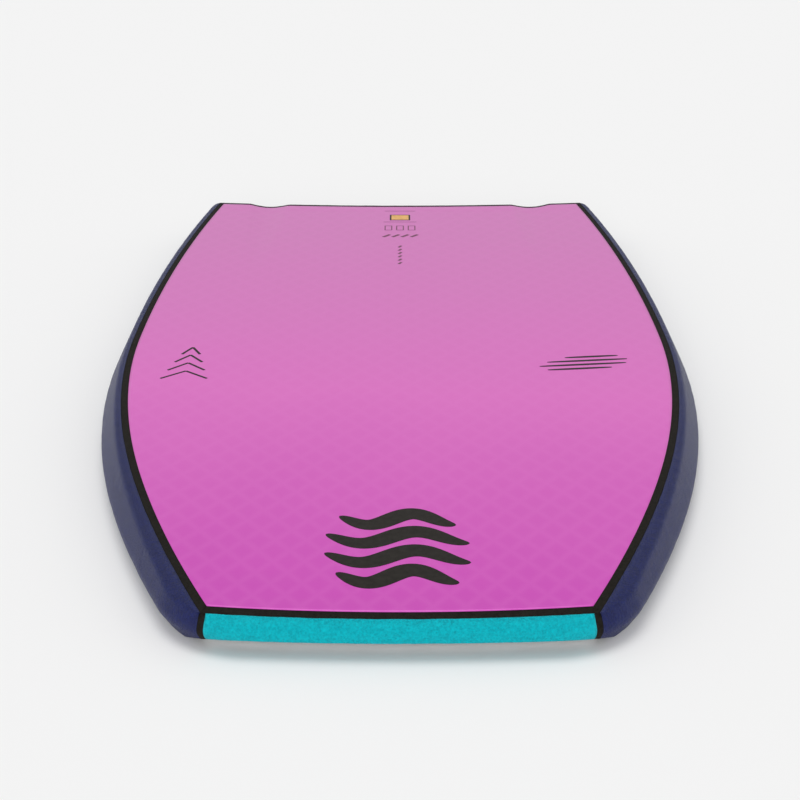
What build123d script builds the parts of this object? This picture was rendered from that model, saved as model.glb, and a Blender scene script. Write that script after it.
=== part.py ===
"""Bodyboard lying deck side down, slick side up: foam core, layered slick, rails and bumpers.

Frame: +Z up out of the slick, nose towards -Y, tail towards +Y, X across the board.
The origin is at the centre of the bounding box's bottom, on the flat deck side.
All sizes are in millimetres.
"""
from build123d import *
from math import atan2, cos, radians, sin, tan
import os

# Overall size
overall_length = 1067.0
overall_width = 574.0
thickness = 50.0
nose_thickness = 31.0
tail_thickness = 46.5

# Plan shape, as half widths of the overall outline and distances from the nose tip
widest_from_nose = 542.0
shoulder_from_nose = 216.0
shoulder_half_width = 241.0
nose_half_width = 163.0
tail_half_width = 247.0
nose_bow = 8.0
tail_crescent = 14.0
nose_corner_radius = 60.0
tail_corner_radius = 22.0

# Rails and bumpers: the widest line runs round the board at the chine height
chine_height = 17.0
upper_draft = 26.0
lower_draft = 32.0
band_width = 6.5
rail_shoulder = 4.5
nose_shoulder = 3.0
tail_shoulder = 2.0
end_band_width = 5.0
nose_mitre_angle = 22.0
tail_mitre_angle = 12.0

# Bevel under the nose: it starts below the chine and slopes back to the deck side
nose_lip = 2.0
nose_bevel_angle = 27.0

# Layers, from the slick downwards and from the deck upwards
skin_thickness = 1.2
backing_thickness = 3.0
mesh_thickness = 0.8
deck_thickness = 4.0

# Channels pressed into the slick at the tail
channel_from_centre = 165.0
channel_depth = 5.0
channel_width = 52.0
channel_length = 330.0

# Stringer: a tube along the middle of the core, with a plug in each end
stringer_diameter = 12.0
stringer_bore = 9.0
stringer_height = 20.0
stringer_inset_nose = 150.0
stringer_inset_tail = 60.0
plug_length = 25.0

# Working lengths for tools that run past the board on every side
beyond = 20.0
mitre_reach = 120.0

half_width = overall_width / 2
nose_y = -overall_length / 2
widest_y = nose_y + widest_from_nose

# Angles of the outline to the board's axes where its tangent arcs end
front_run = widest_from_nose - shoulder_from_nose
shoulder_angle = 2 * atan2(half_width - shoulder_half_width, front_run)
nose_run = shoulder_from_nose - nose_bow
nose_angle = 2 * atan2(shoulder_half_width - nose_half_width, nose_run) - shoulder_angle
tail_angle = 2 * atan2(half_width - tail_half_width, overall_length - widest_from_nose)
crescent_angle = 2 * atan2(tail_crescent, tail_half_width)
bow_radius = (nose_half_width ** 2 + nose_bow ** 2) / (2 * nose_bow)

# The sharp tail corners stand out by what their rounding takes off the length
corner_spread = (sin(crescent_angle) + cos(tail_angle)) / cos(crescent_angle - tail_angle)
tail_y = overall_length / 2 + tail_corner_radius * (corner_spread - 1)
upper_slope = tan(radians(upper_draft))
upper_flare = (thickness - chine_height) * upper_slope
lower_flare = chine_height * tan(radians(lower_draft))
rail_reach = band_width + rail_shoulder + upper_flare
nose_reach = band_width + nose_shoulder + (nose_thickness - chine_height) * upper_slope
tail_reach = band_width + tail_shoulder + (tail_thickness - chine_height) * upper_slope
slick_nose_y = nose_y + nose_reach
slick_tail_y = tail_y - tail_reach


def plan_outline(side_inset, nose_inset, tail_inset):
    """Outline seen from above, set in from the overall outline by separate distances."""
    widest = (half_width - side_inset, widest_y)
    shoulder = (shoulder_half_width - side_inset * cos(shoulder_angle),
                nose_y + shoulder_from_nose + side_inset * sin(shoulder_angle))
    nose = (nose_half_width + nose_inset * tan(nose_angle) - side_inset / cos(nose_angle),
            nose_y + nose_bow + nose_inset)
    tail = (tail_half_width + tail_inset * tan(tail_angle) - side_inset / cos(tail_angle),
            tail_y - tail_inset)
    with BuildSketch(Plane.XY) as outline:
        with BuildLine() as half:
            front = TangentArc(widest, shoulder, tangent=(0, -1))
            TangentArc(shoulder, nose, tangent=front % 1)
            TangentArc(widest, tail, tangent=(0, 1))
            mirror(half.line, about=Plane.YZ)
            ThreePointArc(nose, (0, nose_y + nose_inset), (-nose[0], nose[1]))
            ThreePointArc(tail, (0, tail[1] - tail_crescent), (-tail[0], tail[1]))
        make_face()
    return outline.sketch


def rounded_outline(inset):
    """Outline at one height, set in evenly from the overall outline, with rounded corners."""
    with BuildSketch(Plane.XY) as outline:
        add(plan_outline(inset, inset, inset))
        fillet(outline.vertices().sort_by(Axis.Y)[:2], nose_corner_radius - inset)
        fillet(outline.vertices().sort_by(Axis.Y)[-2:], tail_corner_radius - inset)
    return outline.sketch


def below_slick(depth):
    """Everything below the rockered slick surface when it is lowered by a depth."""
    channel_radius = (channel_width ** 2 / 4 + channel_depth ** 2) / (2 * channel_depth)
    side_reach = half_width + beyond
    with BuildPart() as below:
        with BuildSketch(Plane.YZ) as profile:
            with BuildLine():
                top = (widest_y, thickness - depth)
                front = TangentArc(top, (nose_y, nose_thickness - depth), tangent=(-1, 0))
                rear = Line(top, (tail_y, tail_thickness - depth))
                nose_end = front @ 1 + (front % 1) * beyond
                tail_end = rear @ 1 + (rear % 1) * beyond
                Polyline(front @ 1, nose_end, (nose_end.X, -beyond),
                         (tail_end.X, -beyond), tail_end, rear @ 1)
            make_face()
        extrude(amount=side_reach, both=True)
        crown = thickness - depth + channel_radius
        rear_low = Vector(0, tail_y, tail_thickness - depth - channel_depth + channel_radius)
        fade = Vector(0, tail_y - channel_length, crown)
        along = (fade - rear_low).normalized()
        for side in (1, -1):
            start = rear_low - along * beyond + Vector(side * channel_from_centre, 0, 0)
            with BuildSketch(Plane(origin=start, x_dir=(1, 0, 0), z_dir=along)):
                Circle(channel_radius)
            extrude(amount=channel_length + 2 * beyond, mode=Mode.SUBTRACT)
    return below.part


def nose_bevel():
    """Ring round the centre of the nose's bow, to cut the bevel under the nose."""
    centre_y = nose_y + bow_radius
    rise = chine_height - nose_lip
    run = (rise + beyond) / tan(radians(nose_bevel_angle))
    with BuildPart() as bevel:
        with BuildSketch(Plane.YZ):
            with BuildLine():
                Polyline((centre_y + bow_radius, rise), (centre_y + bow_radius - run, -beyond),
                         (centre_y + bow_radius + beyond, -beyond),
                         (centre_y + bow_radius + beyond, rise), close=True)
            make_face()
        revolve(axis=Axis((0, centre_y, 0), (0, 0, 1)))
    return bevel.part


def mitre_points(side, corner, angle, towards, shift):
    """Two points of a mitre line that leaves a slick corner outwards, moved across by a shift."""
    direction = Vector(side * sin(radians(angle)), towards * cos(radians(angle)))
    across = Vector(side * cos(radians(angle)), -towards * sin(radians(angle)))
    start = Vector(side * corner.X, corner.Y) + across * shift
    return [start, start + direction * mitre_reach]


slick_outline = plan_outline(rail_reach, nose_reach, tail_reach)
band_outline = plan_outline(rail_reach - band_width, nose_reach - band_width,
                            tail_reach - band_width)
slick_nose_corner = slick_outline.vertices().group_by(Axis.Y)[0].sort_by(Axis.X)[-1]
slick_tail_corner = slick_outline.vertices().group_by(Axis.Y)[-1].sort_by(Axis.X)[-1]


def nose_mitre(side, shift):
    return mitre_points(side, slick_nose_corner, nose_mitre_angle, -1, shift)


def tail_mitre(side):
    return mitre_points(side, slick_tail_corner, tail_mitre_angle, 1, 0)


def region(points):
    """Tall prism over a closed row of plan points."""
    with BuildPart() as prism:
        with BuildSketch(Plane.XY.offset(-beyond)):
            with BuildLine():
                Polyline(*points, close=True)
            make_face()
        extrude(amount=thickness + 2 * beyond)
    return prism.part


def end_region(left, right):
    """Prism between two mitre lines, for a piece across the nose or the tail."""
    return region([(0, widest_y), *left, *reversed(right)])


def side_region(nose_line):
    """Prism on the right of the board, between a nose mitre line and the tail mitre line."""
    far_x = half_width + mitre_reach
    tail_line = tail_mitre(1)
    return region([(0, widest_y), *nose_line, (far_x, nose_line[1].Y), (far_x, tail_line[1].Y),
                   *reversed(tail_line)])


def outline_prism(outline):
    """Tall prism that stands on an outline."""
    with BuildPart() as prism:
        with BuildSketch(Plane.XY):
            add(outline)
        extrude(amount=thickness + beyond)
    return prism.part


def save(piece, name):
    """Label a finished piece and write it as its own STEP file."""
    piece.part.label = name
    export_step(piece.part, f"parts/{name}.step")


os.makedirs("parts", exist_ok=True)

# Shared tools: the layer surfaces and the walls inside the rails
skin_bottom = skin_thickness
backing_bottom = skin_bottom + backing_thickness
mesh_bottom = backing_bottom + mesh_thickness
under_slick = below_slick(0)
under_skin = below_slick(skin_bottom)
under_backing = below_slick(backing_bottom)
under_mesh = below_slick(mesh_bottom)
inside_band = outline_prism(slick_outline)
inside_rails = outline_prism(band_outline)
under_nose = nose_bevel()

# Slick skin: the smooth sheet on the bottom of the board
with BuildPart() as slick_skin:
    add(inside_band)
    add(under_slick, mode=Mode.INTERSECT)
    add(under_skin, mode=Mode.SUBTRACT)
save(slick_skin, "slick_skin")

# Slick backing: thin foam sheet that the skin is laminated to
with BuildPart() as slick_backing:
    add(inside_band)
    add(under_skin, mode=Mode.INTERSECT)
    add(under_backing, mode=Mode.SUBTRACT)
save(slick_backing, "slick_backing")

# Slick mesh: plastic net between the backing and the core, drawn as a closed sheet
with BuildPart() as slick_mesh:
    add(inside_band)
    add(under_backing, mode=Mode.INTERSECT)
    add(under_mesh, mode=Mode.SUBTRACT)
save(slick_mesh, "slick_mesh")

# Stringer: tube with a solid plug in each end
stringer_start = slick_nose_y + stringer_inset_nose
stringer_end = slick_tail_y - tail_crescent - stringer_inset_tail
stringer_plane = Plane(origin=(0, stringer_start, stringer_height), x_dir=(1, 0, 0), z_dir=(0, 1, 0))
with BuildPart() as stringer_tube:
    with BuildSketch(stringer_plane):
        Circle(stringer_diameter / 2)
        Circle(stringer_bore / 2, mode=Mode.SUBTRACT)
    extrude(amount=stringer_end - stringer_start)
save(stringer_tube, "stringer_tube")

with BuildPart() as stringer_plug_nose:
    with BuildSketch(stringer_plane):
        Circle(stringer_bore / 2)
    extrude(amount=plug_length)
save(stringer_plug_nose, "stringer_plug_nose")

with BuildPart() as stringer_plug_tail:
    with BuildSketch(stringer_plane.offset(stringer_end - stringer_start - plug_length)):
        Circle(stringer_bore / 2)
    extrude(amount=plug_length)
save(stringer_plug_tail, "stringer_plug_tail")

# Deck skin: foam sheet on the side that the rider lies on
with BuildPart() as deck_skin:
    with BuildSketch(Plane.XY):
        add(slick_outline)
    extrude(amount=deck_thickness)
    add(under_nose, mode=Mode.SUBTRACT)
save(deck_skin, "deck_skin")

# Foam core: fills the board between the mesh and the deck skin, round the stringer
with BuildPart() as foam_core:
    with BuildSketch(Plane.XY.offset(deck_thickness)):
        add(slick_outline)
    extrude(amount=thickness)
    add(under_mesh, mode=Mode.INTERSECT)
    with BuildSketch(stringer_plane):
        Circle(stringer_diameter / 2)
    extrude(amount=stringer_end - stringer_start, mode=Mode.SUBTRACT)
    add(under_nose, mode=Mode.SUBTRACT)
save(foam_core, "foam_core")

# Inner band: black foam wrap round the core, in four lengths that meet at the corners
with BuildPart() as band_nose:
    add(inside_rails)
    add(inside_band, mode=Mode.SUBTRACT)
    add(under_slick, mode=Mode.INTERSECT)
    add(end_region(nose_mitre(-1, 0), nose_mitre(1, 0)), mode=Mode.INTERSECT)
    add(under_nose, mode=Mode.SUBTRACT)
save(band_nose, "band_nose")

with BuildPart() as band_tail:
    add(inside_rails)
    add(inside_band, mode=Mode.SUBTRACT)
    add(under_slick, mode=Mode.INTERSECT)
    add(end_region(tail_mitre(-1), tail_mitre(1)), mode=Mode.INTERSECT)
save(band_tail, "band_tail")

with BuildPart() as band_right:
    add(inside_rails)
    add(inside_band, mode=Mode.SUBTRACT)
    add(under_slick, mode=Mode.INTERSECT)
    add(side_region(nose_mitre(1, 0)), mode=Mode.INTERSECT)
    add(under_nose, mode=Mode.SUBTRACT)
save(band_right, "band_right")

with BuildPart() as band_left:
    mirror(band_right.part, about=Plane.YZ)
save(band_left, "band_left")

# Outer ring: everything outside the inner band, leaning in above and below the chine
with BuildPart() as outer_ring:
    with BuildSketch(Plane.XY.offset(chine_height)):
        add(rounded_outline(0))
    with BuildSketch(Plane.XY.offset(thickness)):
        add(rounded_outline(upper_flare))
    loft(ruled=True)
    with BuildSketch(Plane.XY.offset(chine_height)):
        add(rounded_outline(0))
    with BuildSketch(Plane.XY):
        add(rounded_outline(lower_flare))
    loft(ruled=True)
    add(under_slick, mode=Mode.INTERSECT)
    add(inside_rails, mode=Mode.SUBTRACT)
    add(under_nose, mode=Mode.SUBTRACT)

# Rails: foam strips along both sides, round the nose corners
with BuildPart() as rail_right:
    add(outer_ring.part)
    add(side_region(nose_mitre(1, end_band_width / 2)), mode=Mode.INTERSECT)
save(rail_right, "rail_right")

with BuildPart() as rail_left:
    mirror(rail_right.part, about=Plane.YZ)
save(rail_left, "rail_left")

# End bands: thin black layers between the rails and the nose bumper
with BuildPart() as end_band_right:
    add(outer_ring.part)
    add(region([*nose_mitre(1, -end_band_width / 2), *reversed(nose_mitre(1, end_band_width / 2))]),
        mode=Mode.INTERSECT)
save(end_band_right, "end_band_right")

with BuildPart() as end_band_left:
    mirror(end_band_right.part, about=Plane.YZ)
save(end_band_left, "end_band_left")

# Bumpers: foam strips across the nose and the tail
with BuildPart() as nose_bumper:
    add(outer_ring.part)
    add(end_region(nose_mitre(-1, -end_band_width / 2), nose_mitre(1, -end_band_width / 2)),
        mode=Mode.INTERSECT)
save(nose_bumper, "nose_bumper")

with BuildPart() as tail_bumper:
    add(outer_ring.part)
    add(end_region(tail_mitre(-1), tail_mitre(1)), mode=Mode.INTERSECT)
save(tail_bumper, "tail_bumper")
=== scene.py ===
"""Looks of the bodyboard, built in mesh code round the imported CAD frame.

Everything is in metres in the CAD's own frame: +Z up out of the slick, nose towards -Y.
The outline, the rocker and the layers repeat the CAD's driving sizes, and their places
come from the frame's boxes.
"""
from math import atan, cos, pi, radians, sin, sqrt, tan

import bmesh
import bpy
import numpy as np
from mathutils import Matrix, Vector, noise


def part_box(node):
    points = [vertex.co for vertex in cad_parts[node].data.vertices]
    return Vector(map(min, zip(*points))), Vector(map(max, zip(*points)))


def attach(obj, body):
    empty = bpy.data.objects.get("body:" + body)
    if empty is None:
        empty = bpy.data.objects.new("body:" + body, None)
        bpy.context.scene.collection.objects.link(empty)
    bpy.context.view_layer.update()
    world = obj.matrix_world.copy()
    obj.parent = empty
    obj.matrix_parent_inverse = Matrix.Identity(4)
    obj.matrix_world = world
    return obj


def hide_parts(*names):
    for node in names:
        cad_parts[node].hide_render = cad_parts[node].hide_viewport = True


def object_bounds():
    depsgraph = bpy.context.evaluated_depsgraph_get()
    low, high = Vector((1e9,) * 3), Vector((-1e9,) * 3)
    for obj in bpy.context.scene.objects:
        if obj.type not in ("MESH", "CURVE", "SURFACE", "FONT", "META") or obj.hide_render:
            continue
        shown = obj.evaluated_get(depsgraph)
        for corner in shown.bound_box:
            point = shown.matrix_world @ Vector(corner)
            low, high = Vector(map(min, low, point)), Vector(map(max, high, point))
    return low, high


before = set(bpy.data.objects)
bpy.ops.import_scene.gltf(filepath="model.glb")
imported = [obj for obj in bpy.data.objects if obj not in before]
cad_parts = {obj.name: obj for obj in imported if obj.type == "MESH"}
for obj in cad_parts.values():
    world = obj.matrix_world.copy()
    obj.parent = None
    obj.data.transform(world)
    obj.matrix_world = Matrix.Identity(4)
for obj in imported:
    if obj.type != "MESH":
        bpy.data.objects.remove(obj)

cad_low, cad_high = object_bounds()

MM = 0.001

# Places read from the frame
HALF_WIDTH = cad_high.x
NOSE_Y = cad_low.y
THICKNESS = cad_high.z
SLICK_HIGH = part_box("slick_skin")[1]
DECK_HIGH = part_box("deck_skin")[1]

# Sizes that the CAD model is driven by
WIDEST_FROM_NOSE = 542 * MM
SHOULDER_FROM_NOSE = 216 * MM
SHOULDER_HALF_WIDTH = 241 * MM
NOSE_HALF_WIDTH = 163 * MM
TAIL_HALF_WIDTH = 247 * MM
NOSE_BOW = 8 * MM
TAIL_CRESCENT = 14 * MM
TAIL_CORNER_RADIUS = 22 * MM
NOSE_THICKNESS = 31 * MM
TAIL_THICKNESS = 46.5 * MM
CHINE_HEIGHT = 17 * MM
UPPER_SLOPE = tan(radians(26))
LOWER_SLOPE = tan(radians(32))
BAND_WIDTH = 6.5 * MM
RAIL_SHOULDER = 4.5 * MM
NOSE_SHOULDER = 3 * MM
TAIL_SHOULDER = 2 * MM
END_BAND_WIDTH = 5 * MM
NOSE_MITRE = radians(22)
TAIL_MITRE = radians(12)
CHANNEL_X = 165 * MM
CHANNEL_DEPTH = 5 * MM
CHANNEL_WIDTH = 52 * MM
CHANNEL_LENGTH = 330 * MM
NOSE_LIP = 2 * MM
NOSE_BEVEL_SLOPE = tan(radians(27))

# Sizes of the looks alone
SOFT_NOSE_RADIUS = 82 * MM
CHANNEL_SOFTNESS = 1.5 * MM
RIDGE_ROUNDING = 3.0 * MM
CHINE_ROUNDING = 5.5 * MM
FOOT_ROUNDING = 4.0 * MM
BAND_ROUNDING = 0.8 * MM
BAND_EDGE_WAVER = 0.25 * MM
BAND_LEAN = 0.35 * MM
NOSE_BAND_LEAN = 1.2 * MM
RIDGE_LEAN = 1.6 * MM
NOSE_RIDGE_LEAN = 2.2 * MM
EDGE_FADE = 25 * MM
PRINT_RISE = 0.12 * MM

WIDEST_Y = NOSE_Y + WIDEST_FROM_NOSE
ROCKER_RISE = THICKNESS - NOSE_THICKNESS
ROCKER_RADIUS = (WIDEST_FROM_NOSE ** 2 + ROCKER_RISE ** 2) / (2 * ROCKER_RISE)
CHANNEL_RADIUS = (CHANNEL_WIDTH ** 2 / 4 + CHANNEL_DEPTH ** 2) / (2 * CHANNEL_DEPTH)
UPPER_FLARE = (THICKNESS - CHINE_HEIGHT) * UPPER_SLOPE
LOWER_FLARE = CHINE_HEIGHT * LOWER_SLOPE
RAIL_REACH = BAND_WIDTH + RAIL_SHOULDER + UPPER_FLARE
NOSE_REACH = BAND_WIDTH + NOSE_SHOULDER + (NOSE_THICKNESS - CHINE_HEIGHT) * UPPER_SLOPE
TAIL_REACH = BAND_WIDTH + TAIL_SHOULDER + (TAIL_THICKNESS - CHINE_HEIGHT) * UPPER_SLOPE
TAIL_Y = SLICK_HIGH.y + TAIL_REACH

SHOULDER_ANGLE = 2 * atan((HALF_WIDTH - SHOULDER_HALF_WIDTH) / (WIDEST_FROM_NOSE - SHOULDER_FROM_NOSE))
NOSE_ANGLE = 2 * atan((SHOULDER_HALF_WIDTH - NOSE_HALF_WIDTH)
                      / (SHOULDER_FROM_NOSE - NOSE_BOW)) - SHOULDER_ANGLE
TAIL_ANGLE = 2 * atan((HALF_WIDTH - TAIL_HALF_WIDTH) / (cad_high.y - WIDEST_Y))
BOW_RADIUS = (NOSE_HALF_WIDTH ** 2 + NOSE_BOW ** 2) / (2 * NOSE_BOW)


# ---------------------------------------------------------------- surfaces

# Pressure dents: centre, reach across, reach along and depth, near the nose corners
DENTS = [(-0.150, -0.405, 0.016, 0.028, 0.40 * MM), (0.168, -0.418, 0.018, 0.034, 0.36 * MM),
         (0.120, -0.350, 0.030, 0.018, 0.25 * MM), (-0.105, -0.462, 0.030, 0.014, 0.25 * MM)]

# Heights of the sheet's waves
BROAD_WAVES = 0.25 * MM
FINE_WAVES = 0.08 * MM

# Where the finer waves begin to grow towards the nose, and over what length
FRONT_FROM = -250 * MM
FRONT_BLEND = 220 * MM


def smooth(t):
    """Smooth step from 0 to 1."""
    t = min(max(t, 0.0), 1.0)
    return t * t * (3 - 2 * t)


def channel_drop(x, y):
    """How far the tail channels, which deepen to the tail and have soft edges, lower the slick."""
    along = (y - (TAIL_Y - CHANNEL_LENGTH)) / CHANNEL_LENGTH
    if along <= 0:
        return 0.0
    across = abs(x) - CHANNEL_X
    pressed = max(0.0, CHANNEL_DEPTH * along - across * across / (2 * CHANNEL_RADIUS))
    return pressed * pressed / (pressed + CHANNEL_SOFTNESS)


def slick_z(x, y):
    """Height of the slick surface: front rocker, flat rear and tail channels."""
    if y < WIDEST_Y:
        run = y - WIDEST_Y
        z = THICKNESS - (ROCKER_RADIUS - sqrt(ROCKER_RADIUS ** 2 - run * run))
    else:
        z = THICKNESS - (y - WIDEST_Y) * (THICKNESS - TAIL_THICKNESS) / (TAIL_Y - WIDEST_Y)
    return z - channel_drop(x, y)


def dents(x, y):
    """Shallow dents and waviness of the hand-laminated sheet, always below the true surface."""
    broad = noise.noise(Vector((x * 7, y * 5, 3.1)))
    fine = noise.noise(Vector((x * 23, y * 19, 8.7)))
    near_nose = smooth((FRONT_FROM - y) / FRONT_BLEND)
    pressed = sum(depth * np.exp(-(((x - cx) / rx) ** 2 + ((y - cy) / ry) ** 2))
                  for cx, cy, rx, ry, depth in DENTS)
    return BROAD_WAVES * (1 + broad) + FINE_WAVES * (1 + fine) * (0.4 + near_nose) + pressed


def above_bevel(points):
    """Points lifted onto the bevel under the nose where they lie below it."""
    radius = np.hypot(points[:, 0], points[:, 1] - (NOSE_Y + BOW_RADIUS))
    floor = CHINE_HEIGHT - NOSE_LIP - (BOW_RADIUS - radius) * NOSE_BEVEL_SLOPE
    lifted = points.copy()
    lifted[:, 2] = np.maximum(points[:, 2], np.minimum(floor, CHINE_HEIGHT - NOSE_LIP))
    return lifted


# ---------------------------------------------------------------- outline

# Counts of points on the stretches of an outline, before it is resampled, and of the steps
# over which the direction at a corner is taken
FRONT_POINTS = 600
NOSE_FLANK_POINTS = 400
REAR_POINTS = 900
HALF_END_POINTS = 600
CORNER_POINTS = 60
TANGENT_STEPS = 40


def tangent_arc(start, tangent, end, count):
    """Points of the arc that leaves start along a tangent and passes through end."""
    start, tangent, end = (np.array(v, float) for v in (start, tangent, end))
    tangent = tangent / np.linalg.norm(tangent)
    normal = np.array((-tangent[1], tangent[0]))
    chord = end - start
    radius = chord @ chord / (2 * (chord @ normal))
    centre = start + normal * radius
    sweep = 2 * np.arctan2(chord @ normal, chord @ tangent)
    angles = np.linspace(0, sweep, count)[:, None]
    spoke = start - centre
    turned = np.array((-spoke[1], spoke[0]))
    points = centre + spoke * np.cos(angles) + turned * np.sin(angles)
    final = tangent * np.cos(sweep) + normal * np.sin(sweep)
    return points, final


def three_point_arc(start, middle, end, count):
    """Points of the arc through three points."""
    (ax, ay), (bx, by), (cx, cy) = start, middle, end
    divisor = 2 * (ax * (by - cy) + bx * (cy - ay) + cx * (ay - by))
    centre_x = ((ax * ax + ay * ay) * (by - cy) + (bx * bx + by * by) * (cy - ay)
                + (cx * cx + cy * cy) * (ay - by)) / divisor
    centre_y = ((ax * ax + ay * ay) * (cx - bx) + (bx * bx + by * by) * (ax - cx)
                + (cx * cx + cy * cy) * (bx - ax)) / divisor
    radius = np.hypot(ax - centre_x, ay - centre_y)
    first = np.arctan2(ay - centre_y, ax - centre_x)
    last = np.arctan2(cy - centre_y, cx - centre_x)
    angles = first + np.linspace(0, (last - first + pi) % (2 * pi) - pi, count)
    return np.column_stack((centre_x + radius * np.cos(angles), centre_y + radius * np.sin(angles)))


def half_outline(side_inset, nose_inset, tail_inset):
    """Right half of an outline as three stretches: nose, flank and tail."""
    widest = (HALF_WIDTH - side_inset, WIDEST_Y)
    shoulder = (SHOULDER_HALF_WIDTH - side_inset * cos(SHOULDER_ANGLE),
                NOSE_Y + SHOULDER_FROM_NOSE + side_inset * sin(SHOULDER_ANGLE))
    nose = (NOSE_HALF_WIDTH + nose_inset * tan(NOSE_ANGLE) - side_inset / cos(NOSE_ANGLE),
            NOSE_Y + NOSE_BOW + nose_inset)
    tail = (TAIL_HALF_WIDTH + tail_inset * tan(TAIL_ANGLE) - side_inset / cos(TAIL_ANGLE),
            TAIL_Y - tail_inset)
    front, heading = tangent_arc(widest, (0, -1), shoulder, FRONT_POINTS)
    nose_flank, _ = tangent_arc(shoulder, heading, nose, NOSE_FLANK_POINTS)
    rear, _ = tangent_arc(widest, (0, 1), tail, REAR_POINTS)
    flank = np.vstack((nose_flank[::-1], front[::-1][1:], rear[1:]))
    whole = 2 * HALF_END_POINTS + 1
    nose_edge = three_point_arc((-nose[0], nose[1]), (0, NOSE_Y + nose_inset), nose, whole)
    tail_edge = three_point_arc(tail, (0, tail[1] - TAIL_CRESCENT), (-tail[0], tail[1]), whole)
    return nose_edge[HALF_END_POINTS:], flank, tail_edge[:HALF_END_POINTS + 1]


def round_corner(before, after, radius):
    """Trims two stretches that meet in a corner and joins them with an arc."""
    into = before[-1] - before[-TANGENT_STEPS]
    out = after[TANGENT_STEPS] - after[0]
    into, out = into / np.linalg.norm(into), out / np.linalg.norm(out)
    half_turn = np.arccos(np.clip(into @ out, -1, 1)) / 2
    trim = radius * np.tan(half_turn)
    corner = before[-1]
    kept_before = before[np.linalg.norm(before - corner, axis=1) > trim]
    kept_after = after[np.linalg.norm(after - corner, axis=1) > trim]
    arc, _ = tangent_arc(kept_before[-1], into, kept_after[0], CORNER_POINTS)
    return kept_before, arc[1:-1], kept_after


def resample(points, count):
    """Points evenly spaced along a row of points."""
    steps = np.linalg.norm(np.diff(points, axis=0), axis=1)
    along = np.concatenate(([0], np.cumsum(steps)))
    wanted = np.linspace(0, along[-1], count)
    return np.column_stack([np.interp(wanted, along, points[:, k]) for k in (0, 1)])


def mitre_side(points, corner, angle, towards):
    """Signed distance of points from a mitre line that leaves a slick corner."""
    across = np.array((cos(angle), -towards * sin(angle)))
    return (points - corner) @ across


def ring_curve(insets, radii, breaks):
    """Half outline resampled between break points, so that curves match point by point."""
    nose_edge, flank, tail_edge = half_outline(*insets)
    nose_edge, nose_arc, flank = round_corner(nose_edge, flank, radii[0])
    flank, tail_arc, tail_edge = round_corner(flank, tail_edge, radii[1])
    points = np.vstack((nose_edge, nose_arc, flank, tail_arc, tail_edge))
    nose_side = mitre_side(points, NOSE_CORNER, NOSE_MITRE, -1)
    tail_side = mitre_side(points, TAIL_CORNER, TAIL_MITRE, 1)
    places = {
        "start": 0,
        "nose_mitre_in": first_crossing(nose_side + END_BAND_WIDTH / 2),
        "nose_mitre_out": first_crossing(nose_side - END_BAND_WIDTH / 2),
        "nose_corner": len(nose_edge) + len(nose_arc) // 2,
        "widest": first_crossing(points[:, 1] - WIDEST_Y),
        "tail_corner": len(nose_edge) + len(nose_arc) + len(flank) + len(tail_arc) // 2,
        "tail_mitre": last_crossing(tail_side),
        "end": len(points) - 1,
    }
    places["nose_mitre_out"] = min(places["nose_mitre_out"], places["nose_corner"] - 2)
    names = list(breaks)
    rows = [resample(points[places[a]:places[b] + 1], breaks[b])[:-1]
            for a, b in zip(names, names[1:])]
    return np.vstack(rows + [points[-1:]])


def first_crossing(values):
    """Number of the first point whose value has another sign than the one before."""
    return np.where(np.diff(np.sign(values)) != 0)[0][0] + 1


def last_crossing(values):
    """Number of the last point whose value has another sign than the one before."""
    return np.where(np.diff(np.sign(values)) != 0)[0][-1] + 1


def span(breaks, first, last):
    """Range of point numbers between two break points, both included."""
    names = list(breaks)
    places = np.cumsum([0] + [breaks[n] - 1 for n in names[1:]])
    return range(places[names.index(first)], places[names.index(last)] + 1)


# Insets of the band's two edges from the outline, along the sides, the nose and the tail
INNER_INSETS = (RAIL_REACH, NOSE_REACH, TAIL_REACH)
OUTER_INSETS = (RAIL_REACH - BAND_WIDTH, NOSE_REACH - BAND_WIDTH, TAIL_REACH - BAND_WIDTH)

slick_nose_edge, _, slick_tail_edge = half_outline(*INNER_INSETS)
NOSE_CORNER = slick_nose_edge[-1]
TAIL_CORNER = slick_tail_edge[0]

# Break points of the matched curves, each with its count of points since the one before
BAND_BREAKS = {"start": 0, "nose_corner": 80, "widest": 300, "tail_corner": 300, "end": 90}
RING_BREAKS = {"start": 0, "nose_mitre_in": 80, "nose_mitre_out": 5, "nose_corner": 14,
               "widest": 320, "tail_corner": 320, "tail_mitre": 14, "end": 90}

# Nearly sharp radii of the slick's nose and tail corners
SHARP = (0.8 * MM, 0.8 * MM)
band_inner = ring_curve(INNER_INSETS, SHARP, BAND_BREAKS)
band_outer = ring_curve(OUTER_INSETS, SHARP, BAND_BREAKS)


def even_curve(inset):
    """Outer outline at one height of the rails, with nose corners softer than the CAD's."""
    radii = (SOFT_NOSE_RADIUS - inset, TAIL_CORNER_RADIUS - inset)
    return ring_curve((inset, inset, inset), radii, RING_BREAKS)


rail_inner = ring_curve(OUTER_INSETS, SHARP, RING_BREAKS)
chine_curve = even_curve(0)
top_curve = even_curve(UPPER_FLARE)
bottom_curve = even_curve(LOWER_FLARE)


# ---------------------------------------------------------------- mesh helpers

def make_object(name, vertices, faces):
    """Mesh object with smooth shading."""
    mesh = bpy.data.meshes.new(name)
    mesh.from_pydata([tuple(v) for v in vertices], [], faces)
    mesh.validate()
    mesh.update()
    obj = bpy.data.objects.new(name, mesh)
    bpy.context.scene.collection.objects.link(obj)
    mesh.polygons.foreach_set("use_smooth", [True] * len(mesh.polygons))
    return obj


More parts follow.
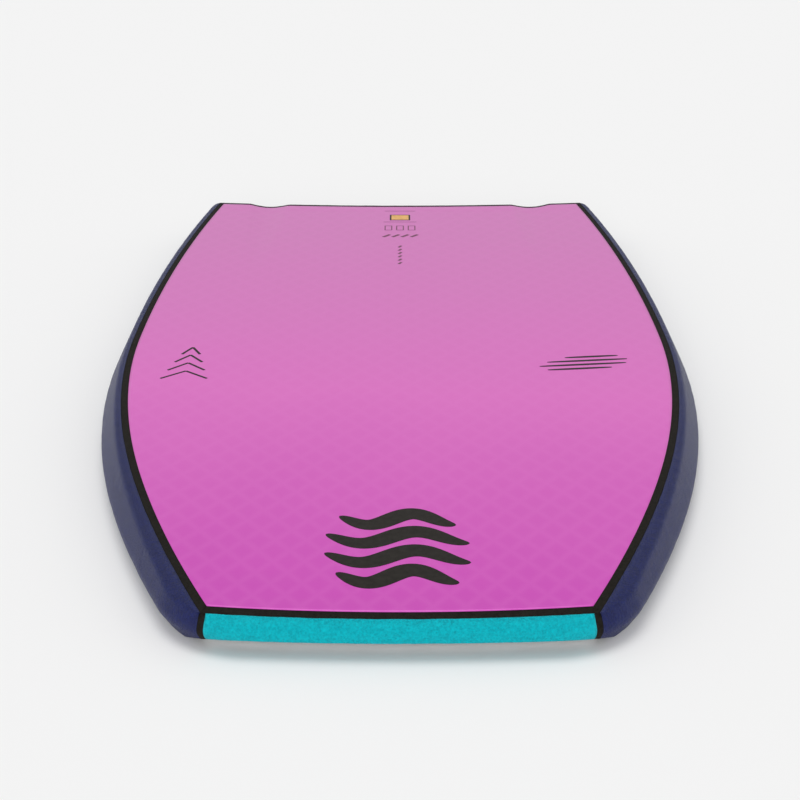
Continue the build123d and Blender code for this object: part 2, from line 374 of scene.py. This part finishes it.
def tube_object(name, sections):
    """Closed solid skinned over a row of closed cross-sections, with fan caps."""
    rows, count = len(sections), len(sections[0])
    vertices = [p for section in sections for p in section]
    faces = []
    for i in range(rows - 1):
        for j in range(count):
            k = (j + 1) % count
            faces.append((i * count + j, i * count + k, (i + 1) * count + k, (i + 1) * count + j))
    for row, flip in ((0, True), (rows - 1, False)):
        centre = len(vertices)
        vertices.append(np.mean(sections[row], axis=0))
        for j in range(count):
            k = (j + 1) % count
            a, b = row * count + j, row * count + k
            faces.append((centre, b, a) if flip else (centre, a, b))
    obj = make_object(name, vertices, faces)
    fix_normals(obj)
    return obj


def fix_normals(obj):
    """Points every face of a closed mesh outwards."""
    bm = bmesh.new()
    bm.from_mesh(obj.data)
    bmesh.ops.recalc_face_normals(bm, faces=bm.faces)
    bm.to_mesh(obj.data)
    bm.free()


def sharpen(obj, degrees):
    """Keeps edges sharper than an angle crisp in shading."""
    bpy.context.view_layer.objects.active = obj
    obj.select_set(True)
    bpy.ops.object.shade_auto_smooth(angle=radians(degrees))
    obj.select_set(False)


def blend_corner(before, corner, after, radius, count):
    """Points of a rounded corner between two straight runs."""
    before, corner, after = np.array(before), np.array(corner), np.array(after)
    back, forth = before - corner, after - corner
    room = 0.45 * min(np.linalg.norm(back), np.linalg.norm(forth))
    reach = min(radius, room)
    start = corner + back / np.linalg.norm(back) * reach
    end = corner + forth / np.linalg.norm(forth) * reach
    t = np.linspace(0, 1, count)[:, None]
    return (1 - t) ** 2 * start + 2 * t * (1 - t) * corner + t ** 2 * end


def straight(start, end, count):
    """Points between two points, without the ends."""
    t = np.linspace(0, 1, count + 2)[1:-1, None]
    return np.array(start) * (1 - t) + np.array(end) * t


# ---------------------------------------------------------------- rails, bands and bumpers

def nose_share(y):
    """1 at the nose, 0 along the sides and the tail."""
    return smooth((NOSE_Y + 75 * MM - y) / (60 * MM))


def band_drop(y):
    """How far the band's outer edge leans below the slick."""
    return BAND_LEAN + NOSE_BAND_LEAN * nose_share(y)


def ridge_drop(y):
    """How far the ridge between shoulder and main face lies below the slick."""
    return RIDGE_LEAN + NOSE_RIDGE_LEAN * nose_share(y)


def outer_section(i):
    """Closed cross-section of a rail or bumper at one point of the ring curves."""
    inner, chine, top, bottom = rail_inner[i], chine_curve[i], top_curve[i], bottom_curve[i]
    level = slick_z(*inner)
    ridge_z = min(level, slick_z(*top)) - ridge_drop(chine[1])
    share = (ridge_z - CHINE_HEIGHT) / (THICKNESS - CHINE_HEIGHT)
    ridge = chine * (1 - share) + top * share
    top_edge = (*inner, level - band_drop(inner[1]))
    ridge_edge = (*ridge, ridge_z)
    chine_edge = (*chine, CHINE_HEIGHT)
    foot = (*bottom, 0.0)
    inner_foot = (*inner, 0.0)
    ridge_bend = blend_corner(top_edge, ridge_edge, chine_edge, RIDGE_ROUNDING, count=7)
    chine_bend = blend_corner(ridge_edge, chine_edge, foot, CHINE_ROUNDING, count=11)
    foot_bend = blend_corner(chine_edge, foot, inner_foot, FOOT_ROUNDING, count=7)
    shoulder = straight(top_edge, ridge_bend[0], count=2)
    main_face = straight(ridge_bend[-1], chine_bend[0], count=5)
    lower_face = straight(chine_bend[-1], foot_bend[0], count=6)
    underside = straight(foot_bend[-1], inner_foot, count=4)
    back = straight(inner_foot, top_edge, count=2)
    return above_bevel(np.vstack((top_edge, shoulder, ridge_bend, main_face, chine_bend, lower_face,
                                  foot_bend, underside, inner_foot, back)))


def band_section(i):
    """Closed cross-section of the black band at one point of the ring curves."""
    inner, outer = band_inner[i], band_outer[i]
    waver = BAND_EDGE_WAVER * noise.noise(Vector((outer[0] * 160, outer[1] * 160, 0.5)))
    inner_top = (*inner, slick_z(*inner))
    outer_top = (*outer, slick_z(*outer) - band_drop(outer[1]) + waver)
    outer_foot = (*outer, 0.0)
    inner_foot = (*inner, 0.0)
    top = straight(inner_top, outer_top, count=3)
    bend = blend_corner(inner_top, outer_top, outer_foot, BAND_ROUNDING, count=4)
    underside = straight(outer_foot, inner_foot, count=2)
    return above_bevel(np.vstack((inner_top, top, bend, outer_foot, underside, inner_foot)))


def mirrored(section):
    """Cross-section on the other side of the centre line."""
    return section * np.array((-1, 1, 1))


def side_piece(name, section, numbers, side):
    """Strip along one side of the board."""
    sections = [section(i) for i in numbers]
    if side < 0:
        sections = [mirrored(s) for s in sections]
    return tube_object(name, sections)


def end_piece(name, section, numbers, from_nose):
    """Strip across the nose or the tail, from one side to the other."""
    half = [section(i) for i in numbers]
    if from_nose:
        sections = [mirrored(s) for s in half[:0:-1]] + half
    else:
        sections = half + [mirrored(s) for s in half[-2::-1]]
    return tube_object(name, sections)


def ruffle(obj, amount, scale, seed):
    """Moves points a little inwards, so that the foam isn't perfectly even, but not below 0."""
    shift = Vector((seed, seed * 2, seed * 3))
    moves = [v.normal * (-abs(noise.noise(v.co * scale + shift)) * amount)
             for v in obj.data.vertices]
    for vertex, move in zip(obj.data.vertices, moves):
        vertex.co += move
        vertex.co.z = max(vertex.co.z, 0.0)


# ---------------------------------------------------------------- sheets

COLUMNS, ROWS = 150, 280
flank_points = band_inner[span(BAND_BREAKS, "nose_corner", "tail_corner")]
sheet_rows = resample(flank_points, ROWS)


def sheet_point(row, column):
    """Plan point of a sheet grid that fills the slick's outline."""
    edge = sheet_rows[row]
    across = 2 * column / (COLUMNS - 1) - 1
    bow = NOSE_BOW + (TAIL_CRESCENT - NOSE_BOW) * row / (ROWS - 1)
    return edge[0] * across, edge[1] - bow * (1 - across * across)


def sheet_object(name, upper, lower):
    """Closed sheet between two height functions inside the slick's outline."""
    plan = [[sheet_point(r, c) for c in range(COLUMNS)] for r in range(ROWS)]
    vertices = [(x, y, upper(x, y)) for row in plan for x, y in row]
    vertices += [(x, y, lower(x, y)) for row in plan for x, y in row]
    below = ROWS * COLUMNS
    faces = []
    for r in range(ROWS - 1):
        for c in range(COLUMNS - 1):
            a = r * COLUMNS + c
            faces.append((a, a + 1, a + COLUMNS + 1, a + COLUMNS))
            faces.append((below + a, below + a + COLUMNS, below + a + COLUMNS + 1, below + a + 1))
    rim = list(range(COLUMNS))
    rim += [r * COLUMNS + COLUMNS - 1 for r in range(1, ROWS)]
    rim += [(ROWS - 1) * COLUMNS + c for c in range(COLUMNS - 2, -1, -1)]
    rim += [r * COLUMNS for r in range(ROWS - 2, 0, -1)]
    for a, b in zip(rim, rim[1:] + rim[:1]):
        faces.append((b, a, below + a, below + b))
    obj = make_object(name, vertices, faces)
    fix_normals(obj)
    return obj


def slick_top(x, y):
    """Height of the slick sheet with its dents, which fade out at its edge."""
    return slick_z(x, y) - dents(x, y) * edge_fade(x, y)


def edge_fade(x, y):
    """0 at the sheet's edge, 1 inside it, so that dents leave the edge in place."""
    half = np.interp(y, sheet_rows[:, 1], sheet_rows[:, 0])
    inside = min(half - abs(x), y - (NOSE_Y + NOSE_REACH), SLICK_HIGH.y - TAIL_CRESCENT - y)
    return smooth(inside / EDGE_FADE)


def deck_top(x, y):
    """Top of the deck sheet, which is glued to the core."""
    return max(DECK_HIGH.z, deck_bottom(x, y) + 0.2 * MM)


def deck_bottom(x, y):
    """Underside of the deck sheet: flat, with a fine pressed waviness above the ground."""
    waviness = 0.15 * MM * (1 + noise.noise(Vector((x * 15, y * 15, 1.7)))) * edge_fade(x, y)
    return above_bevel(np.array(((x, y, waviness),)))[0, 2]


# ---------------------------------------------------------------- prints

def stroke_faces(points, widths, vertices, faces):
    """Adds a flat stroke that lies on the slick, with its own width at each point."""
    points = np.array(points)
    ahead = np.gradient(points, axis=0)
    ahead /= np.linalg.norm(ahead, axis=1)[:, None] + 1e-12
    normal = np.column_stack((-ahead[:, 1], ahead[:, 0]))
    lanes = 7
    base = len(vertices)
    for point, across, width in zip(points, normal, widths):
        for k in range(lanes):
            x, y = point + across * width * (k / (lanes - 1) - 0.5)
            vertices.append((x, y, slick_top(x, y) + PRINT_RISE))
    for i in range(len(points) - 1):
        for k in range(lanes - 1):
            a = base + i * lanes + k
            faces.append((a, a + lanes, a + lanes + 1, a + 1))


def line(start, end, spacing=2.5 * MM):
    """Evenly spaced points from start to end."""
    start, end = np.array(start), np.array(end)
    count = max(2, int(np.linalg.norm(end - start) / spacing) + 1)
    return np.linspace(start, end, count)


def print_object(name, strokes):
    """One printed mark from a list of (points, widths)."""
    vertices, faces = [], []
    for points, widths in strokes:
        if np.isscalar(widths):
            widths = np.full(len(points), widths)
        stroke_faces(points, widths, vertices, faces)
    obj = make_object(name, vertices, faces)
    for polygon in obj.data.polygons:
        if polygon.normal.z < 0:
            polygon.flip()
    return obj


def wave_strokes(centre, width, spacing, thick, count):
    """Stack of leaf-shaped waves."""
    strokes = []
    swing = 9 * MM
    taper = 0.16
    t = np.linspace(-1, 1, 90)
    widths = thick * np.sqrt(np.clip(1 - t * t, 0.0004, 1))
    for k in range(count):
        from_middle = k - (count - 1) / 2
        x = centre[0] + t * (width / 2 * (1 - taper * abs(from_middle)))
        y = centre[1] + from_middle * spacing + swing * np.sin(t * 1.35 * pi + 0.5)
        strokes.append((np.column_stack((x, y)), widths))
    return strokes


def chevron_strokes(centre, width, height, count, thick):
    """Stack of open chevrons that point to the tail."""
    strokes = []
    for k in range(count):
        y = centre[1] + (k - (count - 1) / 2) * height / count
        reach = width / 2 * (1 - 0.2 * k)
        for side in (-1, 1):
            foot = (centre[0] + side * reach, y - height / count * 0.45)
            strokes.append((line(foot, (centre[0], y + height / count * 0.45)), thick))
    return strokes


def dash_strokes(centre, offsets_and_lengths, spacing, thick, lean):
    """Leaning parallel dashes of different lengths."""
    strokes = []
    for k, (offset, length) in enumerate(offsets_and_lengths):
        x = centre[0] + offset
        y = centre[1] + (k - (len(offsets_and_lengths) - 1) / 2) * spacing
        points = line((x - length / 2, y - lean * length / 2), (x + length / 2, y + lean * length / 2))
        t = np.linspace(-1, 1, len(points))
        strokes.append((points, thick * (0.35 + 0.65 * np.sqrt(1 - t * t))))
    return strokes


def frame_strokes(centre, width, height, thick):
    """Rectangle outline."""
    x, y = centre
    w, h = width / 2, height / 2
    corners = [(x - w, y - h), (x + w, y - h), (x + w, y + h), (x - w, y + h)]
    half = thick / 2
    strokes = []
    for a, b in zip(corners, corners[1:] + corners[:1]):
        a, b = np.array(a), np.array(b)
        ahead = (b - a) / np.linalg.norm(b - a) * half
        strokes.append((line(a - ahead, b + ahead), thick))
    return strokes


# ---------------------------------------------------------------- materials

def new_material(name, colour, roughness):
    """Material with a Principled shader, with its node tree and that shader."""
    material = bpy.data.materials.new(name)
    material.use_nodes = True
    tree = material.node_tree
    shader = tree.nodes["Principled BSDF"]
    shader.inputs["Base Color"].default_value = (*colour, 1)
    shader.inputs["Roughness"].default_value = roughness
    return material, tree, shader


def connect(tree, socket, value):
    """Feeds a socket from another socket, a number or a colour."""
    if isinstance(value, tuple):
        socket.default_value = (*value, 1)
    elif isinstance(value, (int, float)):
        socket.default_value = value
    else:
        tree.links.new(value, socket)


def object_point(tree):
    """Object coordinates, which are the frame's own metres."""
    return tree.nodes.new("ShaderNodeTexCoord").outputs["Object"]


def math_node(tree, operation, *values):
    """Result of a math node on sockets or numbers."""
    node = tree.nodes.new("ShaderNodeMath")
    node.operation = operation
    for socket, value in zip(node.inputs, values):
        connect(tree, socket, value)
    return node.outputs[0]


def mixed(tree, share, first, second):
    """Colour that goes from the first to the second as the share goes from 0 to 1."""
    node = tree.nodes.new("ShaderNodeMixRGB")
    for name, value in (("Fac", share), ("Color1", first), ("Color2", second)):
        connect(tree, node.inputs[name], value)
    return node.outputs["Color"]


def noise_node(tree, point, scale, detail=3.0, rough=0.55):
    """Noise value from 0 to 1 at a scale given in features per metre."""
    node = tree.nodes.new("ShaderNodeTexNoise")
    for name, value in (("Scale", scale), ("Detail", detail), ("Roughness", rough)):
        node.inputs[name].default_value = value
    tree.links.new(point, node.inputs["Vector"])
    return node.outputs["Fac"]


def ramp(tree, value, low, high, dark, light):
    """Colour that runs from dark to light as a value goes from low to high."""
    node = tree.nodes.new("ShaderNodeValToRGB")
    node.color_ramp.elements[0].position = low
    node.color_ramp.elements[1].position = high
    node.color_ramp.elements[0].color = (*dark, 1)
    node.color_ramp.elements[1].color = (*light, 1)
    tree.links.new(value, node.inputs["Fac"])
    return node.outputs["Color"]


def bump(tree, height, strength, distance, under=None):
    """Bump normal from a height, on top of another bump if one is given."""
    node = tree.nodes.new("ShaderNodeBump")
    node.inputs["Strength"].default_value = strength
    node.inputs["Distance"].default_value = distance
    tree.links.new(height, node.inputs["Height"])
    if under is not None:
        tree.links.new(under, node.inputs["Normal"])
    return node.outputs["Normal"]


# Strands of the net per metre, across and along the board
NET_ACROSS = 41.3
NET_ALONG = 31.4

# Colours of the slick at the nose, in the middle and at the tail, which paint shade and light along its
# length (darkest at the nose, lightest in the middle), and over the net's strands
NOSE_PINK_PAINTED_SHADE = (0.575, 0.050, 0.450)
MIDDLE_PINK_PAINTED_LIGHT = (0.700, 0.125, 0.520)
TAIL_PINK_PAINTED_LIGHT = (0.630, 0.155, 0.480)
NET_PINK = (0.78, 0.20, 0.62)


def net_height(tree, point):
    """Height of the diamond net, two families of slanting strands, and the point's parts."""
    split = tree.nodes.new("ShaderNodeSeparateXYZ")
    tree.links.new(point, split.inputs[0])
    strands = []
    for sign in (1, -1):
        across = math_node(tree, "MULTIPLY", split.outputs["X"], NET_ACROSS * sign)
        along = math_node(tree, "MULTIPLY", split.outputs["Y"], NET_ALONG)
        phase = math_node(tree, "MULTIPLY", math_node(tree, "ADD", across, along), 2 * pi)
        wave = math_node(tree, "COSINE", phase)
        raised = math_node(tree, "MULTIPLY_ADD", wave, 0.5, 0.5)
        strands.append(math_node(tree, "POWER", raised, 3.0))
    return math_node(tree, "MAXIMUM", strands[0], strands[1]), split


def slick_material():
    """Satin plastic sheet: pink with painted shade and light along its length, and the net showing
    faintly through it.
    """
    material, tree, shader = new_material("slick_plastic", (0.60, 0.08, 0.42), roughness=0.34)
    point = object_point(tree)
    net, split = net_height(tree, point)
    cloud = noise_node(tree, point, scale=6.0, detail=4.0)
    # The pink runs from the nose to the tail as painted shade and light, clouded a little at random.
    length = TAIL_Y - NOSE_Y
    along = math_node(tree, "MULTIPLY_ADD", split.outputs["Y"], 1 / length, -NOSE_Y / length)
    clouded = math_node(tree, "MULTIPLY_ADD", cloud, 0.12, along)
    colour = ramp(tree, clouded, 0.10, 0.90, NOSE_PINK_PAINTED_SHADE, TAIL_PINK_PAINTED_LIGHT)
    middle = colour.node.color_ramp.elements.new(0.44)
    middle.color = (*MIDDLE_PINK_PAINTED_LIGHT, 1)
    tinted = mixed(tree, math_node(tree, "MULTIPLY", net, 0.10), colour, NET_PINK)
    tree.links.new(tinted, shader.inputs["Base Color"])
    shader.inputs["Specular IOR Level"].default_value = 0.5
    shader.inputs["Coat Weight"].default_value = 0.12
    shader.inputs["Coat Roughness"].default_value = 0.22
    rear = math_node(tree, "MULTIPLY_ADD", split.outputs["Y"], 0.9, 0.65)
    rear.node.use_clamp = True
    pressed = bump(tree, math_node(tree, "MULTIPLY", net, rear), 0.25, 0.3 * MM)
    peel = noise_node(tree, point, scale=60.0, detail=2.0)
    orange_peel = bump(tree, peel, 0.10, 0.8 * MM, under=pressed)
    grains = noise_node(tree, point, scale=900.0, detail=2.0)
    grain = bump(tree, grains, 0.10, 0.1 * MM, under=orange_peel)
    tree.links.new(grain, shader.inputs["Normal"])
    return material


def foam_material(name, dark, light, roughness, grain, shine, painted_edge_highlight=None):
    """Closed-cell foam: fine cells, soft mottling, its own shine and convex edges painted paler as a
    highlight.
    """
    material, tree, shader = new_material(name, dark, roughness)
    point = object_point(tree)
    mottling = noise_node(tree, point, scale=300.0, detail=5.0, rough=0.7)
    mottled = ramp(tree, mottling, 0.35, 0.68, dark, light)
    cells = tree.nodes.new("ShaderNodeTexVoronoi")
    cells.inputs["Scale"].default_value = 620.0
    tree.links.new(point, cells.inputs["Vector"])
    speck = ramp(tree, cells.outputs["Distance"], 0.05, 0.75, tuple(0.72 * c for c in dark), light)
    colour = mixed(tree, 0.35, mottled, speck)
    if painted_edge_highlight:
        # Convex edges and ridges get a paler colour as a painted highlight.
        geometry = tree.nodes.new("ShaderNodeNewGeometry")
        edge = ramp(tree, geometry.outputs["Pointiness"], 0.50, 0.60, (0, 0, 0), (1, 1, 1))
        colour = mixed(tree, math_node(tree, "MULTIPLY", edge, 0.35), colour, painted_edge_highlight)
    tree.links.new(colour, shader.inputs["Base Color"])
    shader.inputs["Specular IOR Level"].default_value = shine
    swells = noise_node(tree, point, scale=150.0, detail=3.0)
    swollen = bump(tree, swells, 0.25 * grain, 0.6 * MM)
    pores = noise_node(tree, point, scale=520.0, detail=4.0, rough=0.75)
    porous = bump(tree, pores, grain, 3.0 * MM, under=swollen)
    cellular = bump(tree, cells.outputs["Distance"], 0.5 * grain, 0.7 * MM, under=porous)
    tree.links.new(cellular, shader.inputs["Normal"])
    return material


def ink_material(name, colour, roughness):
    """Flat printed ink with slightly uneven cover."""
    material, tree, shader = new_material(name, colour, roughness)
    point = object_point(tree)
    shader.inputs["Specular IOR Level"].default_value = 0.12
    cover = noise_node(tree, point, scale=220.0, detail=4.0)
    light = tuple(min(1.0, c * 1.35 + 0.006) for c in colour)
    tree.links.new(ramp(tree, cover, 0.35, 0.75, colour, light), shader.inputs["Base Color"])
    grain = bump(tree, noise_node(tree, point, scale=700.0), 0.12, 0.1 * MM)
    tree.links.new(grain, shader.inputs["Normal"])
    return material


MATERIALS = {
    "slick": slick_material(),
    # The rails and the nose bumper get a painted highlight colour along their ridges and rims.
    "rail": foam_material("rail_foam", (0.004, 0.007, 0.060), (0.012, 0.021, 0.150),
                          roughness=0.34, grain=1.0, shine=0.24, painted_edge_highlight=(0.08, 0.10, 0.28)),
    "bumper": foam_material("bumper_foam", (0.0, 0.42, 0.52), (0.001, 0.62, 0.72),
                            roughness=0.46, grain=1.0, shine=0.12, painted_edge_highlight=(0.05, 0.85, 0.92)),
    "band": foam_material("band_foam", (0.008, 0.0065, 0.005), (0.019, 0.0165, 0.013),
                          roughness=0.6, grain=0.5, shine=0.06),
    "deck": foam_material("deck_foam", (0.62, 0.63, 0.64), (0.74, 0.75, 0.76),
                          roughness=0.55, grain=0.8, shine=0.15),
    "core": foam_material("core_foam", (0.80, 0.80, 0.77), (0.90, 0.90, 0.88),
                          roughness=0.7, grain=0.5, shine=0.0),
    "backing": foam_material("backing_foam", (0.70, 0.18, 0.46), (0.80, 0.26, 0.56),
                             roughness=0.7, grain=0.4, shine=0.0),
    "tube": foam_material("stringer_fibre", (0.012, 0.012, 0.013), (0.05, 0.05, 0.055),
                          roughness=0.35, grain=0.3, shine=0.0),
    "ink": ink_material("print_ink_black", (0.012, 0.0095, 0.007), roughness=0.38),
    "pale_ink": ink_material("print_ink_grey", (0.17, 0.06, 0.11), roughness=0.4),
    "gold": ink_material("print_ink_gold", (0.66, 0.38, 0.13), roughness=0.4),
}


def finish_piece(obj, material, replaced=()):
    """Gives a piece its material and body, and hides the CAD nodes that it stands for."""
    obj.data.materials.clear()
    obj.data.materials.append(MATERIALS[material])
    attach(obj, "root")
    if replaced:
        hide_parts(*replaced)


# ---------------------------------------------------------------- the board

def build_strips():
    """Rails, bumpers, end bands and the black band."""
    rail_span = span(RING_BREAKS, "nose_mitre_out", "tail_mitre")
    end_span = span(RING_BREAKS, "nose_mitre_in", "nose_mitre_out")
    side_span = span(BAND_BREAKS, "nose_corner", "tail_corner")
    for side, word in ((-1, "left"), (1, "right")):
        rail = side_piece(f"rail_foam_{word}", outer_section, rail_span, side)
        ruffle(rail, amount=0.35 * MM, scale=60, seed=3.0 + side)
        finish_piece(rail, "rail", [f"rail_{word}"])
        end_band = side_piece(f"end_band_foam_{word}", outer_section, end_span, side)
        ruffle(end_band, amount=0.3 * MM, scale=90, seed=6.0 + side)
        finish_piece(end_band, "band", [f"end_band_{word}"])
        band = side_piece(f"band_foam_{word}", band_section, side_span, side)
        finish_piece(band, "band", [f"band_{word}"])
    bumper = end_piece("nose_bumper_foam", outer_section,
                       span(RING_BREAKS, "start", "nose_mitre_in"), from_nose=True)
    ruffle(bumper, amount=0.35 * MM, scale=60, seed=11.0)
    finish_piece(bumper, "bumper", ["nose_bumper"])
    tail = end_piece("tail_bumper_foam", outer_section,
                     span(RING_BREAKS, "tail_mitre", "end"), from_nose=False)
    ruffle(tail, amount=0.35 * MM, scale=60, seed=14.0)
    finish_piece(tail, "band", ["tail_bumper"])
    nose_band = end_piece("band_foam_nose", band_section,
                          span(BAND_BREAKS, "start", "nose_corner"), from_nose=True)
    finish_piece(nose_band, "band", ["band_nose"])
    tail_band = end_piece("band_foam_tail", band_section,
                          span(BAND_BREAKS, "tail_corner", "end"), from_nose=False)
    finish_piece(tail_band, "band", ["band_tail"])


def build_sheets():
    """Slick sheet and deck sheet."""
    skin = SLICK_HIGH.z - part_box("slick_backing")[1].z
    slick = sheet_object("slick_sheet", slick_top, lambda x, y: slick_z(x, y) - skin)
    finish_piece(slick, "slick", ["slick_skin"])
    deck = sheet_object("deck_sheet", deck_top, deck_bottom)
    sharpen(deck, degrees=40)
    finish_piece(deck, "deck", ["deck_skin"])


def build_prints():
    """Plain generic marks where the board carries its prints."""
    waves = wave_strokes((-2 * MM, -424 * MM), width=122 * MM, spacing=29 * MM, thick=19 * MM, count=4)
    finish_piece(print_object("print_nose_waves", waves), "ink")
    chevrons = chevron_strokes((-204 * MM, -57 * MM), width=44 * MM, height=84 * MM, count=4,
                               thick=2.6 * MM)
    finish_piece(print_object("print_side_chevrons", chevrons), "ink")
    offsets_and_lengths = [(-6 * MM, 62 * MM), (-2 * MM, 84 * MM), (3 * MM, 78 * MM), (8 * MM, 52 * MM)]
    dashes = dash_strokes((178 * MM, -57 * MM), offsets_and_lengths, spacing=10.5 * MM,
                          thick=4.2 * MM, lean=0.12)
    finish_piece(print_object("print_side_dashes", dashes), "ink")
    centre = (0.0, 450 * MM)
    marks = frame_strokes(centre, width=23 * MM, height=22 * MM, thick=2 * MM)
    finish_piece(print_object("print_tail_frame", marks), "ink")
    panel = [(line((-10.5 * MM, centre[1]), (10.5 * MM, centre[1])), 20 * MM)]
    finish_piece(print_object("print_tail_panel", panel), "gold")
    finish_piece(print_object("print_tail_marks", small_marks()), "pale_ink")


def small_marks():
    """Thin lines, three boxes, a row of slanted ticks and a column of short dashes."""
    small = [(line((-19 * MM, 479 * MM), (19 * MM, 479 * MM)), 1.0 * MM),
             (line((-20 * MM, 430 * MM), (20 * MM, 430 * MM)), 1.2 * MM)]
    for x in (-14 * MM, 0.0, 14 * MM):
        small += frame_strokes((x, 404 * MM), width=8 * MM, height=18 * MM, thick=1.3 * MM)
    for k in range(4):
        foot = (-20 + 11 * k) * MM
        small.append((line((foot, 366 * MM), (foot + 8 * MM, 376 * MM)), 4 * MM))
    for k in range(6):
        y = (258 + 13 * k) * MM
        small.append((line((-1.5 * MM, y), (1.5 * MM, y + 7 * MM), 1.5 * MM), 3 * MM))
    return small


def dress_inner_nodes():
    """Materials for the CAD pieces inside the board."""
    inner = {"foam_core": "core", "slick_backing": "backing", "slick_mesh": "core",
             "stringer_tube": "tube", "stringer_plug_nose": "tube", "stringer_plug_tail": "tube"}
    for node, material in inner.items():
        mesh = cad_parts[node].data
        mesh.materials.clear()
        mesh.materials.append(MATERIALS[material])


# ---------------------------------------------------------------- stage

CAMERA_PITCH = radians(22.18)
CAMERA_DEPTH = 1264 * MM
CAMERA_RISE = -153.6 * MM
LENS = 78.57
SENSOR_WIDTH = 36
FLOOR_SIZE = 60
FLOOR_BELOW = 0.5 * MM
SURROUNDING_LIGHT = 0.56


def build_camera():
    """Camera in front of the nose, looking along the board and down on it."""
    data = bpy.data.cameras.new("camera")
    camera = bpy.data.objects.new("camera", data)
    bpy.context.scene.collection.objects.link(camera)
    data.lens = LENS
    data.sensor_width = SENSOR_WIDTH
    nose_edge = Vector((0, NOSE_Y + NOSE_REACH, slick_z(0, NOSE_Y + NOSE_REACH)))
    ahead = Vector((0, cos(CAMERA_PITCH), -sin(CAMERA_PITCH)))
    up = Vector((0, sin(CAMERA_PITCH), cos(CAMERA_PITCH)))
    camera.location = nose_edge - ahead * CAMERA_DEPTH - up * CAMERA_RISE
    camera.rotation_euler = (pi / 2 - CAMERA_PITCH, 0, 0)
    bpy.context.scene.camera = camera


def sun_light(name, direction, softness, power):
    """Distant light with a soft edge, so that the floor is lit evenly."""
    data = bpy.data.lights.new(name, "SUN")
    data.angle = radians(softness)
    data.energy = power
    light = bpy.data.objects.new(name, data)
    bpy.context.scene.collection.objects.link(light)
    light.rotation_euler = Vector(direction).to_track_quat("-Z", "Y").to_euler()


def build_stage():
    """Pale floor, white surroundings and soft studio lights."""
    bpy.ops.mesh.primitive_plane_add(size=FLOOR_SIZE, location=(0, 0, -FLOOR_BELOW))
    floor = bpy.context.object
    floor.name = "floor"
    material, _, shader = new_material("floor_paper", (0.90, 0.90, 0.90), roughness=0.9)
    shader.inputs["Specular IOR Level"].default_value = 0.0
    floor.data.materials.append(material)
    world = bpy.data.worlds.new("surroundings")
    world.use_nodes = True
    background = world.node_tree.nodes["Background"]
    background.inputs["Color"].default_value = (1, 1, 1, 1)
    background.inputs["Strength"].default_value = SURROUNDING_LIGHT
    bpy.context.scene.world = world
    sun_light("overhead", (0.05, -0.10, -1), softness=38, power=0.85)
    sun_light("front", (0.05, 0.92, -0.36), softness=30, power=1.50)
    bpy.context.scene.view_settings.view_transform = "Standard"


build_camera()
build_strips()
build_sheets()
build_prints()
dress_inner_nodes()
build_stage()
